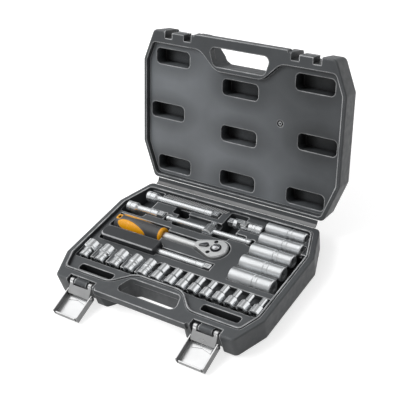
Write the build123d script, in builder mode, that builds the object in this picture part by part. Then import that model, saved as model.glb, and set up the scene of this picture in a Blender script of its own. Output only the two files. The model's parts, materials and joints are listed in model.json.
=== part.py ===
from build123d import *

import math
import os

# A quarter-inch socket wrench set in a hinged plastic case, standing with its lid open.
# The origin is the middle of the base's footprint, on the surface that the case stands on.
# +X runs right along the hinge, +Y back to the hinge and +Z up. All sizes are millimetres.

os.makedirs("parts", exist_ok=True)

# Case
case_width = 252.0
case_depth = 170.0
rim_height = 26.0
lid_depth = 26.0
front_cut_x, front_cut_y = 14.0, 34.5
back_cut_x, back_cut_y = 16.0, 40.5
plan_radius = 6.0
draft_inset = 2.0
edge_radius = 3.5
rim_radius = 1.8
wall = 2.6
mate_gap = 0.1
base_rim_width = 6.5
lid_rim_width = 4.5
flange_thickness = 3.2
front_y = -case_depth / 2

# Hinge: two thin flaps that meet at the fold
fold_gap = 4.6
fold_y = case_depth / 2 + fold_gap
fold_clearance = 0.15
web_half_length = 104.0
web_thickness = 0.8
lid_angle = 109.7

# Carrying grip at the front of both halves
well_front_y = -71.0
well_grip_y = -51.0
well_grip_x = 29.0
well_shoulder_x = 50.0
well_grip_radius = 18.0
grip_hole_front_x, grip_hole_back_x = 38.5, 31.5
grip_hole_front_y, grip_hole_back_y = -76.3, -56.0
hand_space_x = 53.0
hand_space_outer_x = 60.0
hand_space_back_y = -54.5
hand_space_back_x = 27.5
foot_front_y = front_y + 0.6
foot_radius = 8.0
grip_thickness = 8.0
grip_bulge = 1.5
grip_half_length = 58.0

# Snap latches: a link on the base's barrel and a channel lever on the link
latch_x = 79.0
latch_recess_half = 17.2
latch_recess_y = -77.0
barrel_y, barrel_z = -81.0, 22.0
barrel_radius = 3.2
barrel_half = 8.0
stub_radius = 1.8
stub_half = 14.4
link_length = 12.0
link_drop = 48.0
ear_inner, ear_outer = 10.2, 14.2
ear_radius = 3.0
sheet = 1.2
running_gap = 0.05
pivot_radius = 1.25
knuckle_radius = 2.0
link_plate_offset = 1.4
link_overhang = 1.6
lever_drop = 14.0
lever_length = 27.0
lever_half = 16.3
lever_floor = 5.0
lever_wall = 2.2
lever_lip = 0.5
lever_corner = 3.2
facet_height = 0.5
keeper_depth = 14.0
keeper_front_y = -83.5
catch_depth, catch_width = 9.5, 2.4
catch_floor_y = -80.9

# Tool tray and lid liner
tray_top = 23.0
tray_wall = 1.6
tray_seam = 0.5
tray_lip_top = 27.0
pocket_gap = 0.4
pocket_radius = 3.0
liner_face = 5.0
liner_wall = 1.8
liner_pocket_size = (45.0, 17.6)
liner_pocket_depth = 16.6
liner_pocket_radius = 5.0
tool_top = 30.0

# Drive ends shared by the tools
drive_square = 6.35
drive_hole = 6.5
drive_hole_depth = 9.0
drive_length = 7.4
ball_radius = 1.6
ball_proud = 0.55
ball_clearance = 0.06
collar_radius = 6.0
rod_radius = 4.0

# Short sockets, noses to the back, largest on the left
short_sizes = [13, 12, 11, 10, 9, 8, 7, 6.5, 6, 5.5, 5, 4.5, 4, 3.5]
short_length = 22.0
short_drive = 11.6
short_nose_least = 6.6
short_drive_y = -47.6
short_first_x = -106.8
short_gap_large, short_gap_small = 5.45, 3.1
short_large_count = 6

# Deep sockets, drive ends to the right, largest at the front
deep_sizes = [12, 11, 10, 9, 8]
deep_length = 49.0
deep_x = 59.0
deep_front_y = -6.2
deep_spacing = 4.2
deep_last_shift, deep_last_cut = -2.0, 2.5

# Ratchet
ratchet_y = 17.5
ratchet_z = 19.6
ratchet_butt_x = -110.5
grip_length = 62.5
grip_stations = [(1.2, 7.6), (7.0, 9.5), (17.0, 10.3), (30.0, 10.0), (46.0, 8.7), (62.5, 7.9)]
grip_butt_radius = 6.0
inlay_depth = 1.4
inlay_proud = 0.25
inlay_tilt = 60.0
inlay_half_length, inlay_half_width = 19.0, 6.4
inlay_centre = 27.0
collar_length = 4.5
shank_radius = 4.5
head_x = 24.5
head_radius = 13.0
head_bottom, head_top = 14.6, 24.6
cover_thickness = 1.2
gear_radius = 8.6
gear_teeth = 36
gear_bottom, gear_top = 16.4, 22.4
bore_radius = 9.1
journal_radius = 5.5
hub_radius = 5.9
selector_offset = 11.8
selector_radius = 2.4
selector_reach = 7.5
button_radius = 4.4

# Spinner handle
spinner_y, spinner_z = -7.0, 20.8
spinner_butt_x = -108.0
spinner_grip_length = 74.5
spinner_width, spinner_height = 16.4, 17.6
spinner_tip_x = 33.5

# Extensions, sliding tee bar and universal joint
long_y, long_left, long_right = 65.5, -101.0, -4.0
short_y, short_left, short_right = 42.5, -112.0, -61.8
bar_z = 22.6
tee_y, tee_left, tee_right = 41.3, -57.0, 52.3
tee_rod_radius = 3.2
tee_head_radius = 6.6
tee_head_front, tee_head_back, tee_tip = 34.1, 47.3, 54.0
universal_y, universal_left, universal_right = 62.0, 11.3, 54.8
universal_pivot_x = 31.5
fork_gap, fork_thickness, fork_half_width = 3.9, 1.9, 2.5
fork_throat = 7.2
cross_half = 3.6
cross_pin_radius = 1.2


def keep(piece, name):
    """Labels a finished piece and writes it to its own file."""
    piece.part.label = name
    export_step(piece.part, f"parts/{name}.step")


# Plans and planes

def case_plan(inset=0.0, rounded=True):
    """Eight-sided plan of the case, drawn in by the inset."""
    x, y = case_width / 2, case_depth / 2
    corners = [
        (x - front_cut_x, -y),
        (x, -y + front_cut_y),
        (x, y - back_cut_y),
        (x - back_cut_x, y),
    ]
    mirrored = [(-px, py) for px, py in reversed(corners)]
    with BuildSketch() as plan:
        with BuildLine():
            Polyline(*corners, *mirrored, close=True)
        make_face()
        if inset:
            offset(amount=-inset, kind=Kind.INTERSECTION)
        if rounded:
            fillet(plan.vertices(), plan_radius)
    return plan.sketch


def beside_grip(corner):
    """Whether a corner of the well's plan lies where the well bends round the carrying grip."""
    return abs(corner.X) < 1.2 * well_shoulder_x and corner.Y < 0.5 * well_grip_y


def well_plan(rim_width, seam=0.0):
    """Plan of the open middle of a half, inside its rim and behind its carrying grip."""
    far = case_width
    front_band = [
        (-far, -far),
        (far, -far),
        (far, well_front_y),
        (well_shoulder_x, well_front_y),
        (well_grip_x, well_grip_y),
        (-well_grip_x, well_grip_y),
        (-well_shoulder_x, well_front_y),
        (-far, well_front_y),
    ]
    with BuildSketch() as plan:
        add(case_plan(rim_width, rounded=False))
        with BuildLine():
            Polyline(*front_band, close=True)
        make_face(mode=Mode.SUBTRACT)
        if seam:
            offset(amount=-seam, kind=Kind.INTERSECTION)
        fillet([corner for corner in plan.vertices() if not beside_grip(corner)], plan_radius)
        fillet([corner for corner in plan.vertices() if beside_grip(corner)], well_grip_radius)
    return plan.sketch


def grip_hole_plan():
    """Plan of the finger hole behind the carrying bar."""
    with BuildSketch() as plan:
        with BuildLine():
            Polyline(
                (-grip_hole_front_x, grip_hole_front_y),
                (grip_hole_front_x, grip_hole_front_y),
                (grip_hole_back_x, grip_hole_back_y),
                (-grip_hole_back_x, grip_hole_back_y),
                close=True,
            )
        make_face()
        fillet(plan.vertices(), plan_radius)
    return plan.sketch


def hand_space_plan():
    """Plan of the room for fingers below the carrying bar, between two rounded feet."""
    with BuildSketch() as plan:
        with BuildLine():
            Polyline(
                (-hand_space_outer_x, 2 * front_y),
                (hand_space_outer_x, 2 * front_y),
                (hand_space_outer_x, foot_front_y),
                (hand_space_x, foot_front_y),
                (hand_space_back_x, hand_space_back_y),
                (-hand_space_back_x, hand_space_back_y),
                (-hand_space_x, foot_front_y),
                (-hand_space_outer_x, foot_front_y),
                close=True,
            )
        make_face()
        fillet(plan.vertices().group_by(Axis.Y)[-1], plan_radius)
        fillet([corner for corner in plan.vertices() if abs(abs(corner.X) - hand_space_x) < 0.01], foot_radius)
    return plan.sketch


def grip_bulge_plan():
    """Plan of the carrying bar's front, a little proud of the case."""
    with BuildSketch() as plan:
        with Locations((0, front_y + grip_bulge)):
            RectangleRounded(2 * grip_half_length, 4 * grip_bulge, grip_bulge)
    return plan.sketch


# The lid is drawn as if shut, on a plane that is turned open about the fold.
open_cos = math.cos(math.radians(lid_angle))
open_sin = math.sin(math.radians(lid_angle))
lid_plane = Plane(
    origin=(0, fold_y * (1 - open_cos), rim_height + fold_y * open_sin),
    x_dir=(1, 0, 0),
    z_dir=(0, open_sin, open_cos),
)


def turned(start, direction, stations, mode=Mode.ADD):
    """Turns a profile, given as distance and radius pairs, about an axis of the part in hand."""
    across = (1, 0, 0) if abs(direction[2]) > 0.5 else (0, 0, 1)
    with BuildSketch(Plane(origin=start, x_dir=direction, z_dir=across)) as profile:
        with BuildLine():
            Polyline((stations[0][0], 0), *stations, (stations[-1][0], 0), close=True)
        make_face()
    revolve(profile.sketch, axis=Axis(start, direction), mode=mode)


def square_bar(start, direction, size, length, mode=Mode.ADD):
    """Adds or cuts a square bar along an axis."""
    with BuildSketch(Plane(origin=start, z_dir=direction)) as section:
        Rectangle(size, size)
    extrude(section.sketch, amount=length, mode=mode)


def hexagon_hole(start, direction, across_flats, depth):
    """Cuts a six-sided hole along an axis."""
    with BuildSketch(Plane(origin=start, z_dir=direction)) as section:
        RegularPolygon(across_flats / 2, 6, major_radius=False)
    extrude(section.sketch, amount=depth, mode=Mode.SUBTRACT)


def round_hole(start, direction, radius, depth):
    """Cuts a round hole along an axis."""
    with BuildSketch(Plane(origin=start, z_dir=direction)) as section:
        Circle(radius)
    extrude(section.sketch, amount=depth, mode=Mode.SUBTRACT)


def ball_centre(drive_centre, up=(0, 0, 1)):
    """Centre of the detent ball in a drive square, on the face that looks up."""
    rise = drive_square / 2 + ball_proud - ball_radius
    return tuple(c + rise * u for c, u in zip(drive_centre, up))


def ball_seat(drive_centre, up=(0, 0, 1)):
    """Cuts the detent ball's seat into a drive square."""
    with Locations(ball_centre(drive_centre, up)):
        Sphere(ball_radius + ball_clearance, mode=Mode.SUBTRACT)


def detent_ball(name, drive_centre, up=(0, 0, 1)):
    """The detent ball of a drive square."""
    with BuildPart() as ball:
        with Locations(ball_centre(drive_centre, up)):
            Sphere(ball_radius)
    keep(ball, name)


# Base shell: tub, rim, carrying bar, latch recesses and barrels

def rounded_rim(rim_face, plane):
    """Rounds a half's rim all round but along the fold, where the hinge flap leaves it."""
    fold_edge_y = case_depth / 2 - 1
    rim_edges = [edge for edge in rim_face.edges() if plane.to_local_coords(edge.center()).Y < fold_edge_y]
    fillet(rim_edges, rim_radius)


def cut_front(plane, depth):
    """Cuts the finger hole, the hand's room and the latch recesses into one half of the case."""
    extrude(plane * grip_hole_plan(), amount=depth, both=True, mode=Mode.SUBTRACT)
    for side in (-1, 1):
        with BuildSketch(plane) as recess:
            with Locations((side * latch_x, latch_recess_y + front_y)):
                Rectangle(2 * latch_recess_half, -2 * front_y)
        extrude(recess.sketch, amount=depth, both=True, mode=Mode.SUBTRACT)


with BuildPart() as base_shell:
    with BuildSketch(Plane.XY):
        add(case_plan(draft_inset))
    with BuildSketch(Plane.XY.offset(rim_height - mate_gap)):
        add(case_plan())
    loft(ruled=True)
    fillet(base_shell.faces().sort_by(Axis.Z)[0].edges(), edge_radius)
    rounded_rim(base_shell.faces().sort_by(Axis.Z)[-1], Plane.XY)
    with BuildSketch(Plane.XY.offset(rim_height - grip_thickness)):
        add(grip_bulge_plan())
    extrude(amount=grip_thickness - mate_gap)
    with BuildSketch(Plane.XY):
        add(hand_space_plan())
    extrude(amount=rim_height - grip_thickness, mode=Mode.SUBTRACT)
    cut_front(Plane.XY, 2 * rim_height)
    with BuildSketch(Plane.XY.offset(wall)):
        add(well_plan(wall + draft_inset))
    extrude(amount=rim_height - flange_thickness - wall, mode=Mode.SUBTRACT)
    with BuildSketch(Plane.XY.offset(rim_height - flange_thickness)):
        add(well_plan(base_rim_width))
    extrude(amount=flange_thickness, mode=Mode.SUBTRACT)
    for side in (-1, 1):
        barrel_start = (side * latch_x - stub_half, barrel_y, barrel_z)
        shoulder = stub_half - barrel_half
        turned(
            barrel_start,
            (1, 0, 0),
            [
                (0, stub_radius),
                (shoulder, stub_radius),
                (shoulder, barrel_radius),
                (shoulder + 2 * barrel_half, barrel_radius),
                (shoulder + 2 * barrel_half, stub_radius),
                (2 * stub_half, stub_radius),
            ],
        )
        with Locations((side * latch_x, (barrel_y + latch_recess_y) / 2, barrel_z)):
            Box(2 * barrel_half, latch_recess_y - barrel_y, 1.5 * barrel_radius)
keep(base_shell, "base_shell")


# Lid shell: outer skin, rim, carrying bar and the two keepers that the levers snap over

with BuildPart() as lid_shell:
    with BuildSketch(lid_plane.offset(mate_gap)):
        add(case_plan())
    with BuildSketch(lid_plane.offset(lid_depth)):
        add(case_plan(draft_inset))
    loft(ruled=True)
    fillet(lid_shell.faces().sort_by(Axis((0, 0, 0), lid_plane.z_dir))[-1].edges(), edge_radius)
    rounded_rim(lid_shell.faces().sort_by(Axis((0, 0, 0), lid_plane.z_dir))[0], lid_plane)
    with BuildSketch(lid_plane.offset(mate_gap)):
        add(grip_bulge_plan())
    extrude(amount=grip_thickness - mate_gap)
    with BuildSketch(lid_plane.offset(grip_thickness)):
        add(hand_space_plan())
    extrude(amount=lid_depth, mode=Mode.SUBTRACT)
    cut_front(lid_plane, 2 * lid_depth)
    with BuildSketch(lid_plane):
        add(well_plan(lid_rim_width))
    extrude(amount=liner_face + flange_thickness, mode=Mode.SUBTRACT)
    with BuildSketch(lid_plane.offset(liner_face + flange_thickness)):
        add(well_plan(wall + draft_inset))
    extrude(amount=lid_depth - wall - liner_face - flange_thickness, mode=Mode.SUBTRACT)
    for side in (-1, 1):
        with BuildSketch(lid_plane.offset(mate_gap)):
            with Locations((side * latch_x, (keeper_front_y + latch_recess_y) / 2)):
                Rectangle(2 * barrel_half, latch_recess_y - keeper_front_y)
        extrude(amount=keeper_depth - mate_gap)
        with BuildSketch(lid_plane.offset(catch_depth)):
            with Locations((side * latch_x, (keeper_front_y + catch_floor_y) / 2)):
                Rectangle(2 * barrel_half, catch_floor_y - keeper_front_y)
        extrude(amount=catch_width, mode=Mode.SUBTRACT)
keep(lid_shell, "lid_shell")


# Lid liner: a plate set back from the rim, with nine moulded pockets and a moulding mark

liner_rows = [(88.5, 124.5, 145.0), (95.0, 73.5, 83.5), (85.0, 22.5, 22.5)]
liner_pockets = []
for outer_x, middle_reach, outer_reach in liner_rows:
    liner_pockets.append((0.0, fold_y - middle_reach))
    liner_pockets.append((-outer_x, fold_y - outer_reach))
    liner_pockets.append((outer_x, fold_y - outer_reach))
dimple = (50.6, fold_y - 97.5)
dimple_radius, dimple_boss, dimple_hole = 3.6, 2.0, 0.9

with BuildPart() as lid_liner:
    with BuildSketch(lid_plane.offset(liner_face)):
        add(well_plan(lid_rim_width, tray_seam))
    extrude(amount=liner_wall)
    for grow, mode in ((tray_wall, Mode.ADD), (0.0, Mode.SUBTRACT)):
        with BuildSketch(lid_plane.offset(liner_face)):
            with Locations(*liner_pockets):
                RectangleRounded(
                    liner_pocket_size[0] + 2 * grow,
                    liner_pocket_size[1] + 2 * grow,
                    liner_pocket_radius + grow,
                )
        extrude(amount=liner_pocket_depth + grow, mode=mode)
    with BuildSketch(lid_plane.offset(liner_face)):
        with Locations(dimple):
            Circle(dimple_radius)
            Circle(dimple_boss, mode=Mode.SUBTRACT)
            Circle(dimple_hole)
    extrude(amount=0.7 * liner_wall, mode=Mode.SUBTRACT)
keep(lid_liner, "lid_liner")


# Hinge flaps, one on each half, meeting at the fold

flap_depth = fold_gap - fold_clearance - mate_gap
flap_middle = case_depth / 2 + mate_gap + flap_depth / 2

with BuildPart() as hinge_base_flap:
    with BuildSketch(Plane.XY.offset(rim_height - fold_clearance - web_thickness)):
        with Locations((0, flap_middle)):
            Rectangle(2 * web_half_length, flap_depth)
    extrude(amount=web_thickness)
keep(hinge_base_flap, "hinge_base_flap")

with BuildPart() as hinge_lid_flap:
    with BuildSketch(lid_plane.offset(fold_clearance)):
        with Locations((0, flap_middle)):
            Rectangle(2 * web_half_length, flap_depth)
    extrude(amount=web_thickness)
keep(hinge_lid_flap, "hinge_lid_flap")


# Latches

def swing_plane(x, y, z, drop):
    """Plane across a latch: its X axis points forwards and down by the drop angle."""
    angle = math.radians(drop)
    return Plane(origin=(x, y, z), x_dir=(0, -math.cos(angle), -math.sin(angle)), z_dir=(1, 0, 0))


def latch(side_name, centre_x):
    """A snap latch hanging open: link, channel lever and the pin between them."""
    link_plane = swing_plane(centre_x, barrel_y, barrel_z, link_drop)
    pivot = link_plane.from_local_coords((link_length, 0, 0))
    lever_plane = swing_plane(centre_x, pivot.Y, pivot.Z, lever_drop)
    floor_plane = Plane(
        origin=lever_plane.from_local_coords((0, lever_floor - sheet, 0)),
        x_dir=lever_plane.x_dir,
        z_dir=-lever_plane.y_dir,
    )
    plate_start = barrel_radius + 1.0
    plate_end = link_length + link_overhang
    knuckle_bore = pivot_radius + running_gap

    with BuildPart() as link:
        for low in (ear_inner, -ear_outer):
            with BuildSketch(link_plane.offset(low)):
                Circle(ear_radius)
                with Locations((plate_end / 2, -link_plate_offset)):
                    Rectangle(plate_end, sheet)
                Circle(stub_radius + running_gap, mode=Mode.SUBTRACT)
            extrude(amount=ear_outer - ear_inner)
        with BuildSketch(link_plane):
            with Locations(((plate_start + plate_end) / 2, -link_plate_offset)):
                Rectangle(plate_end - plate_start, sheet)
        extrude(amount=ear_outer, both=True)
        for radius, mode in ((knuckle_radius, Mode.ADD), (knuckle_bore, Mode.SUBTRACT)):
            with BuildSketch(link_plane):
                with Locations((link_length, 0)):
                    Circle(radius)
            extrude(amount=ear_outer, both=True, mode=mode)
    keep(link, f"{side_name}_latch_link")

    with BuildPart() as pin:
        with BuildSketch(lever_plane):
            Circle(pivot_radius)
        extrude(amount=lever_half - running_gap, both=True)
    keep(pin, f"{side_name}_latch_pin")

    with BuildPart() as lever:
        with BuildSketch(lever_plane):
            with Locations(((lever_length - 2) / 2, lever_floor - sheet / 2)):
                Rectangle(lever_length + 2, sheet)
        extrude(amount=lever_half, both=True)
        with BuildSketch(lever_plane):
            with Locations((lever_length - sheet / 2, (lever_floor - lever_lip) / 2)):
                Rectangle(sheet, lever_floor + lever_lip)
        extrude(amount=lever_half - lever_corner, both=True)
        with BuildSketch(floor_plane):
            with BuildLine():
                Polyline((3.0, -11.0), (7.6, -11.0), (5.2, 0), (7.6, 11.0), (3.0, 11.0), close=True)
            make_face()
        extrude(amount=facet_height)
        for low in (lever_half - sheet, -lever_half):
            with BuildSketch(lever_plane.offset(low)):
                with BuildLine():
                    Polyline(
                        (-3.2, lever_floor - 2.5),
                        (-2.4, -lever_wall),
                        (lever_length - 1.5, -lever_wall),
                        (lever_length, 1.5 - lever_wall),
                        (lever_length, lever_floor),
                        (-2.0, lever_floor),
                        close=True,
                    )
                make_face()
                Circle(knuckle_bore, mode=Mode.SUBTRACT)
            extrude(amount=sheet)
    keep(lever, f"{side_name}_latch_lever")


for side_name, side in (("left", -1), ("right", 1)):
    latch(side_name, side * latch_x)


# Sockets

def short_nose_diameter(across_flats):
    """Outside diameter of a short socket's nose for its size."""
    return max(1.2 * across_flats + 1.5, short_nose_least)


def deep_diameter(across_flats):
    """Outside diameter of a deep socket for its size."""
    return 1.22 * across_flats + 2.1


def through_radius(across_flats):
    """Radius of the hole between a socket's drive hole and its hexagon."""
    return min(0.42 * across_flats, 3.2)


def short_places():
    """Centre X and axis height of each short socket along the front row."""
    outer = [max(short_nose_diameter(size), short_drive) for size in short_sizes]
    places = []
    x = short_first_x
    for index, diameter in enumerate(outer):
        if index:
            gap = short_gap_large if index <= short_large_count else short_gap_small
            x += (outer[index - 1] + diameter) / 2 + gap
        places.append((x, tool_top - diameter / 2, diameter / 2))
    return places


def deep_places():
    """Left end, centre Y, axis height, radius and length of each deep socket."""
    places = []
    y = deep_front_y
    previous = None
    for size in deep_sizes:
        radius = deep_diameter(size) / 2
        if previous is not None:
            y += previous + radius + deep_spacing
        last = size == deep_sizes[-1]
        left = deep_x + deep_last_shift if last else deep_x
        length = deep_length - deep_last_cut if last else deep_length
        places.append((left, y, tool_top - radius, radius, length))
        previous = radius
    return places


def size_name(size):
    """Size in words that suit a file name, such as 6_5."""
    return f"{size:g}".replace(".", "_")


def short_socket(size, x, z):
    """A short socket lying along Y with its drive hole to the front."""
    nose = short_nose_diameter(size) / 2
    drive = short_drive / 2
    start = (x, short_drive_y, z)
    end = (x, short_drive_y + short_length, z)
    barrel = [(0, drive - 0.6), (0.6, drive)]
    if nose > drive:
        shoulder = [
            (5.0, drive),
            (5.4, drive - 0.5),
            (6.8, drive - 0.5),
            (7.2, drive),
            (9.8, drive),
            (11.2, nose),
            (12.4, nose),
            (12.7, nose - 0.35),
            (13.3, nose - 0.35),
            (13.6, nose),
        ]
    else:
        shoulder = [
            (9.4, drive),
            (10.2, drive - 0.35),
            (10.6, drive - 1.0),
            (10.9, nose + 0.3),
            (11.6, nose),
        ]
    tip = [(short_length - 0.5, nose), (short_length, nose - 0.5)]
    with BuildPart() as socket:
        turned(start, (0, 1, 0), barrel + shoulder + tip)
        square_bar(start, (0, 1, 0), drive_hole, drive_hole_depth, mode=Mode.SUBTRACT)
        round_hole(start, (0, 1, 0), through_radius(size), short_length)
        hexagon_hole(end, (0, -1, 0), size, short_length - drive_hole_depth - 3)
    keep(socket, f"socket_{size_name(size)}mm")


def deep_socket(size, left, y, z, radius, length):
    """A deep socket lying along X with its drive hole to the right."""
    start = (left, y, z)
    end = (left + length, y, z)
    band = 0.56 * length
    stations = [
        (0, radius - 0.6),
        (0.6, radius),
        (band, radius),
        (band + 0.6, radius - 0.7),
        (band + 2.6, radius - 0.7),
        (band + 3.2, radius),
        (band + 5.2, radius),
        (band + 5.8, radius - 0.35),
        (length - 0.8, radius - 0.35),
        (length, radius - 1.1),
    ]
    with BuildPart() as socket:
        turned(start, (1, 0, 0), stations)
        square_bar(end, (-1, 0, 0), drive_hole, drive_hole_depth + 1, mode=Mode.SUBTRACT)
        round_hole(start, (1, 0, 0), through_radius(size), length)
        hexagon_hole(start, (1, 0, 0), size, length - drive_hole_depth - 4)
    keep(socket, f"deep_socket_{size_name(size)}mm")


for size, (x, z, _) in zip(short_sizes, short_places()):
    short_socket(size, x, z)
for size, (left, y, z, radius, length) in zip(deep_sizes, deep_places()):
    deep_socket(size, left, y, z, radius, length)


# Extensions: female collar at the left, drive square at the right

def extension(name, left, right, y):
    """An extension bar lying along X."""
    shoulder = 15.0
    rod_end = right - left - drive_length
    stations = [
        (0, collar_radius - 0.6),
        (0.6, collar_radius),
        (5.0, collar_radius),
        (5.4, collar_radius - 0.4),
        (6.6, collar_radius - 0.4),
        (7.0, collar_radius),
        (shoulder - 2.4, collar_radius),
        (shoulder, rod_radius),
        (rod_end - 10.0, rod_radius),
        (rod_end - 9.0, rod_radius + 0.45),
        (rod_end - 0.5, rod_radius + 0.45),
        (rod_end, rod_radius),
    ]
    tip = (right - drive_length / 2, y, bar_z)
    with BuildPart() as bar:
        turned((left, y, bar_z), (1, 0, 0), stations)
        square_bar((left + rod_end, y, bar_z), (1, 0, 0), drive_square, drive_length)
        chamfer(bar.faces().sort_by(Axis.X)[-1].edges(), 0.6)
        square_bar((left, y, bar_z), (1, 0, 0), drive_hole, drive_hole_depth, mode=Mode.SUBTRACT)
        ball_seat(tip)
    keep(bar, name)
    detent_ball(f"{name}_ball", tip)


extension("long_extension", long_left, long_right, long_y)
extension("short_extension", short_left, short_right, short_y)


# Sliding tee bar: a rod and a head that slides along it

tee_x = 0.0
tee_drive_centre = (tee_x, (tee_head_back + tee_tip) / 2, bar_z)
tee_length = tee_right - tee_left

with BuildPart() as tee_rod:
    turned(
        (tee_left, tee_y, bar_z),
        (1, 0, 0),
        [
            (0, tee_rod_radius - 0.8),
            (0.8, tee_rod_radius),
            (4.0, tee_rod_radius),
            (4.4, tee_rod_radius - 0.4),
            (5.6, tee_rod_radius - 0.4),
            (6.0, tee_rod_radius),
            (tee_length - 6.0, tee_rod_radius),
            (tee_length - 5.6, tee_rod_radius - 0.4),
            (tee_length - 4.4, tee_rod_radius - 0.4),
            (tee_length - 4.0, tee_rod_radius),
            (tee_length - 0.8, tee_rod_radius),
            (tee_length, tee_rod_radius - 0.8),
        ],
    )
keep(tee_rod, "tee_rod")

with BuildPart() as tee_head:
    head_length = tee_head_back - tee_head_front
    turned(
        (tee_x, tee_head_front, bar_z),
        (0, 1, 0),
        [
            (0, tee_head_radius - 1.0),
            (1.0, tee_head_radius),
            (head_length - 2.0, tee_head_radius),
            (head_length, rod_radius + 0.6),
        ],
    )
    square_bar((tee_x, tee_head_back, bar_z), (0, 1, 0), drive_square, tee_tip - tee_head_back)
    chamfer(tee_head.faces().sort_by(Axis.Y)[-1].edges(), 0.6)
    round_hole((tee_x - 20, tee_y, bar_z), (1, 0, 0), tee_rod_radius + running_gap, 40)
    ball_seat(tee_drive_centre)
keep(tee_head, "tee_head")
detent_ball("tee_head_ball", tee_drive_centre)


# Universal joint: two forks on a cross block with crossed pins

def fork_arms(towards, across):
    """Two round-ended fork arms that reach from a yoke's throat to the pivot."""
    pivot = (universal_pivot_x, universal_y, bar_z)
    root = fork_throat + 0.5
    for low in (fork_gap, -fork_gap - fork_thickness):
        origin = tuple(p + low * a for p, a in zip(pivot, across))
        with BuildSketch(Plane(origin=origin, x_dir=(1, 0, 0), z_dir=across)) as arm:
            Circle(fork_half_width)
            with Locations((-towards * root / 2, 0)):
                Rectangle(root, 2 * fork_half_width)
        extrude(arm.sketch, amount=fork_thickness)


universal_drive_centre = (universal_left + drive_length / 2, universal_y, bar_z)
yoke_radius = 5.8
pin_reach = fork_gap + fork_thickness

with BuildPart() as universal_drive_yoke:
    turned(
        (universal_left + drive_length, universal_y, bar_z),
        (1, 0, 0),
        [
            (0, yoke_radius - 1.2),
            (1.2, yoke_radius),
            (universal_pivot_x - fork_throat - universal_left - drive_length, yoke_radius),
        ],
    )
    square_bar((universal_left, universal_y, bar_z), (1, 0, 0), drive_square, drive_length)
    chamfer(universal_drive_yoke.faces().sort_by(Axis.X)[0].edges(), 0.6)
    fork_arms(1, (0, 0, 1))
    round_hole(
        (universal_pivot_x, universal_y, bar_z - 20), (0, 0, 1), cross_pin_radius + running_gap, 40
    )
    ball_seat(universal_drive_centre)
keep(universal_drive_yoke, "universal_drive_yoke")
detent_ball("universal_ball", universal_drive_centre)

with BuildPart() as universal_socket_yoke:
    throat_x = universal_pivot_x + fork_throat
    turned(
        (throat_x, universal_y, bar_z),
        (1, 0, 0),
        [
            (0, yoke_radius),
            (4.0, yoke_radius),
            (5.0, collar_radius + 0.2),
            (8.0, collar_radius + 0.2),
            (8.4, collar_radius - 0.2),
            (9.6, collar_radius - 0.2),
            (10.0, collar_radius + 0.2),
            (universal_right - throat_x - 0.6, collar_radius + 0.2),
            (universal_right - throat_x, collar_radius - 0.4),
        ],
    )
    fork_arms(-1, (0, 1, 0))
    round_hole(
        (universal_pivot_x, universal_y - 20, bar_z), (0, 1, 0), cross_pin_radius + running_gap, 40
    )
    square_bar(
        (universal_right, universal_y, bar_z), (-1, 0, 0), drive_hole, drive_hole_depth, Mode.SUBTRACT
    )
keep(universal_socket_yoke, "universal_socket_yoke")

with BuildPart() as universal_cross:
    with Locations((universal_pivot_x, universal_y, bar_z)):
        Box(2 * cross_half, 2 * cross_half, 2 * cross_half)
        Cylinder(cross_pin_radius, 2 * pin_reach)
        Cylinder(cross_pin_radius, 2 * pin_reach, rotation=(90, 0, 0))
keep(universal_cross, "universal_cross")


# Spinner handle: a moulded grip on a drive shaft

spinner_shoulder_x = spinner_butt_x + spinner_grip_length
spinner_shaft_start = spinner_shoulder_x - 30.0
spinner_drive_centre = (spinner_tip_x - drive_length / 2, spinner_y, spinner_z)
spinner_low = spinner_z - spinner_height / 2

with BuildPart() as spinner_grip:
    with BuildSketch(Plane.XY.offset(spinner_low)) as grip_plan:
        with Locations((spinner_butt_x + spinner_grip_length / 2, spinner_y)):
            Rectangle(spinner_grip_length, spinner_width)
        fillet(grip_plan.vertices().group_by(Axis.X)[0], 7.0)
        fillet(grip_plan.vertices().group_by(Axis.X)[-1], 1.5)
    extrude(amount=spinner_height)
    chamfer(spinner_grip.faces().sort_by(Axis.Z)[-1].edges(), 1.2)
    chamfer(spinner_grip.faces().sort_by(Axis.Z)[0].edges(), 1.2)
    round_hole(
        (spinner_shoulder_x, spinner_y, spinner_z), (-1, 0, 0), rod_radius + running_gap,
        spinner_shoulder_x - spinner_shaft_start,
    )
keep(spinner_grip, "spinner_grip")

with BuildPart() as spinner_shaft:
    shaft_length = spinner_tip_x - drive_length - spinner_shaft_start
    turned(
        (spinner_shaft_start, spinner_y, spinner_z),
        (1, 0, 0),
        [
            (0, rod_radius),
            (shaft_length - 10.0, rod_radius),
            (shaft_length - 9.0, rod_radius + 0.4),
            (shaft_length - 0.5, rod_radius + 0.4),
            (shaft_length, rod_radius),
        ],
    )
    square_bar(
        (spinner_tip_x - drive_length, spinner_y, spinner_z), (1, 0, 0), drive_square, drive_length
    )
    chamfer(spinner_shaft.faces().sort_by(Axis.X)[-1].edges(), 0.6)
    ball_seat(spinner_drive_centre)
keep(spinner_shaft, "spinner_shaft")
detent_ball("spinner_ball", spinner_drive_centre)


# Ratchet: forged head and shank, cover, gear, pawl, selector, release button and moulded grip

ratchet_axis = Axis((ratchet_butt_x, ratchet_y, ratchet_z), (1, 0, 0))
grip_end_x = ratchet_butt_x + grip_length
tang_start_x = ratchet_butt_x + 18.0
collar_end_x = grip_end_x + collar_length
neck_x = 3.0
neck_radius = 5.2
selector_x = head_x - selector_offset
screw_offset_x, screw_offset_y = -5.0, 8.4
screw_radius = 1.4
screw_depth = 5.0
selector_rest = 25.0
pawl_rest = 4.0


def head_plan(inset=0.0):
    """Drop-shaped plan of the ratchet's head."""
    with BuildSketch() as plan:
        with Locations((head_x, ratchet_y)):
            Circle(head_radius - inset)
        with Locations((neck_x + inset, ratchet_y)):
            Circle(neck_radius - inset)
        make_hull()
    return plan.sketch


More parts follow.
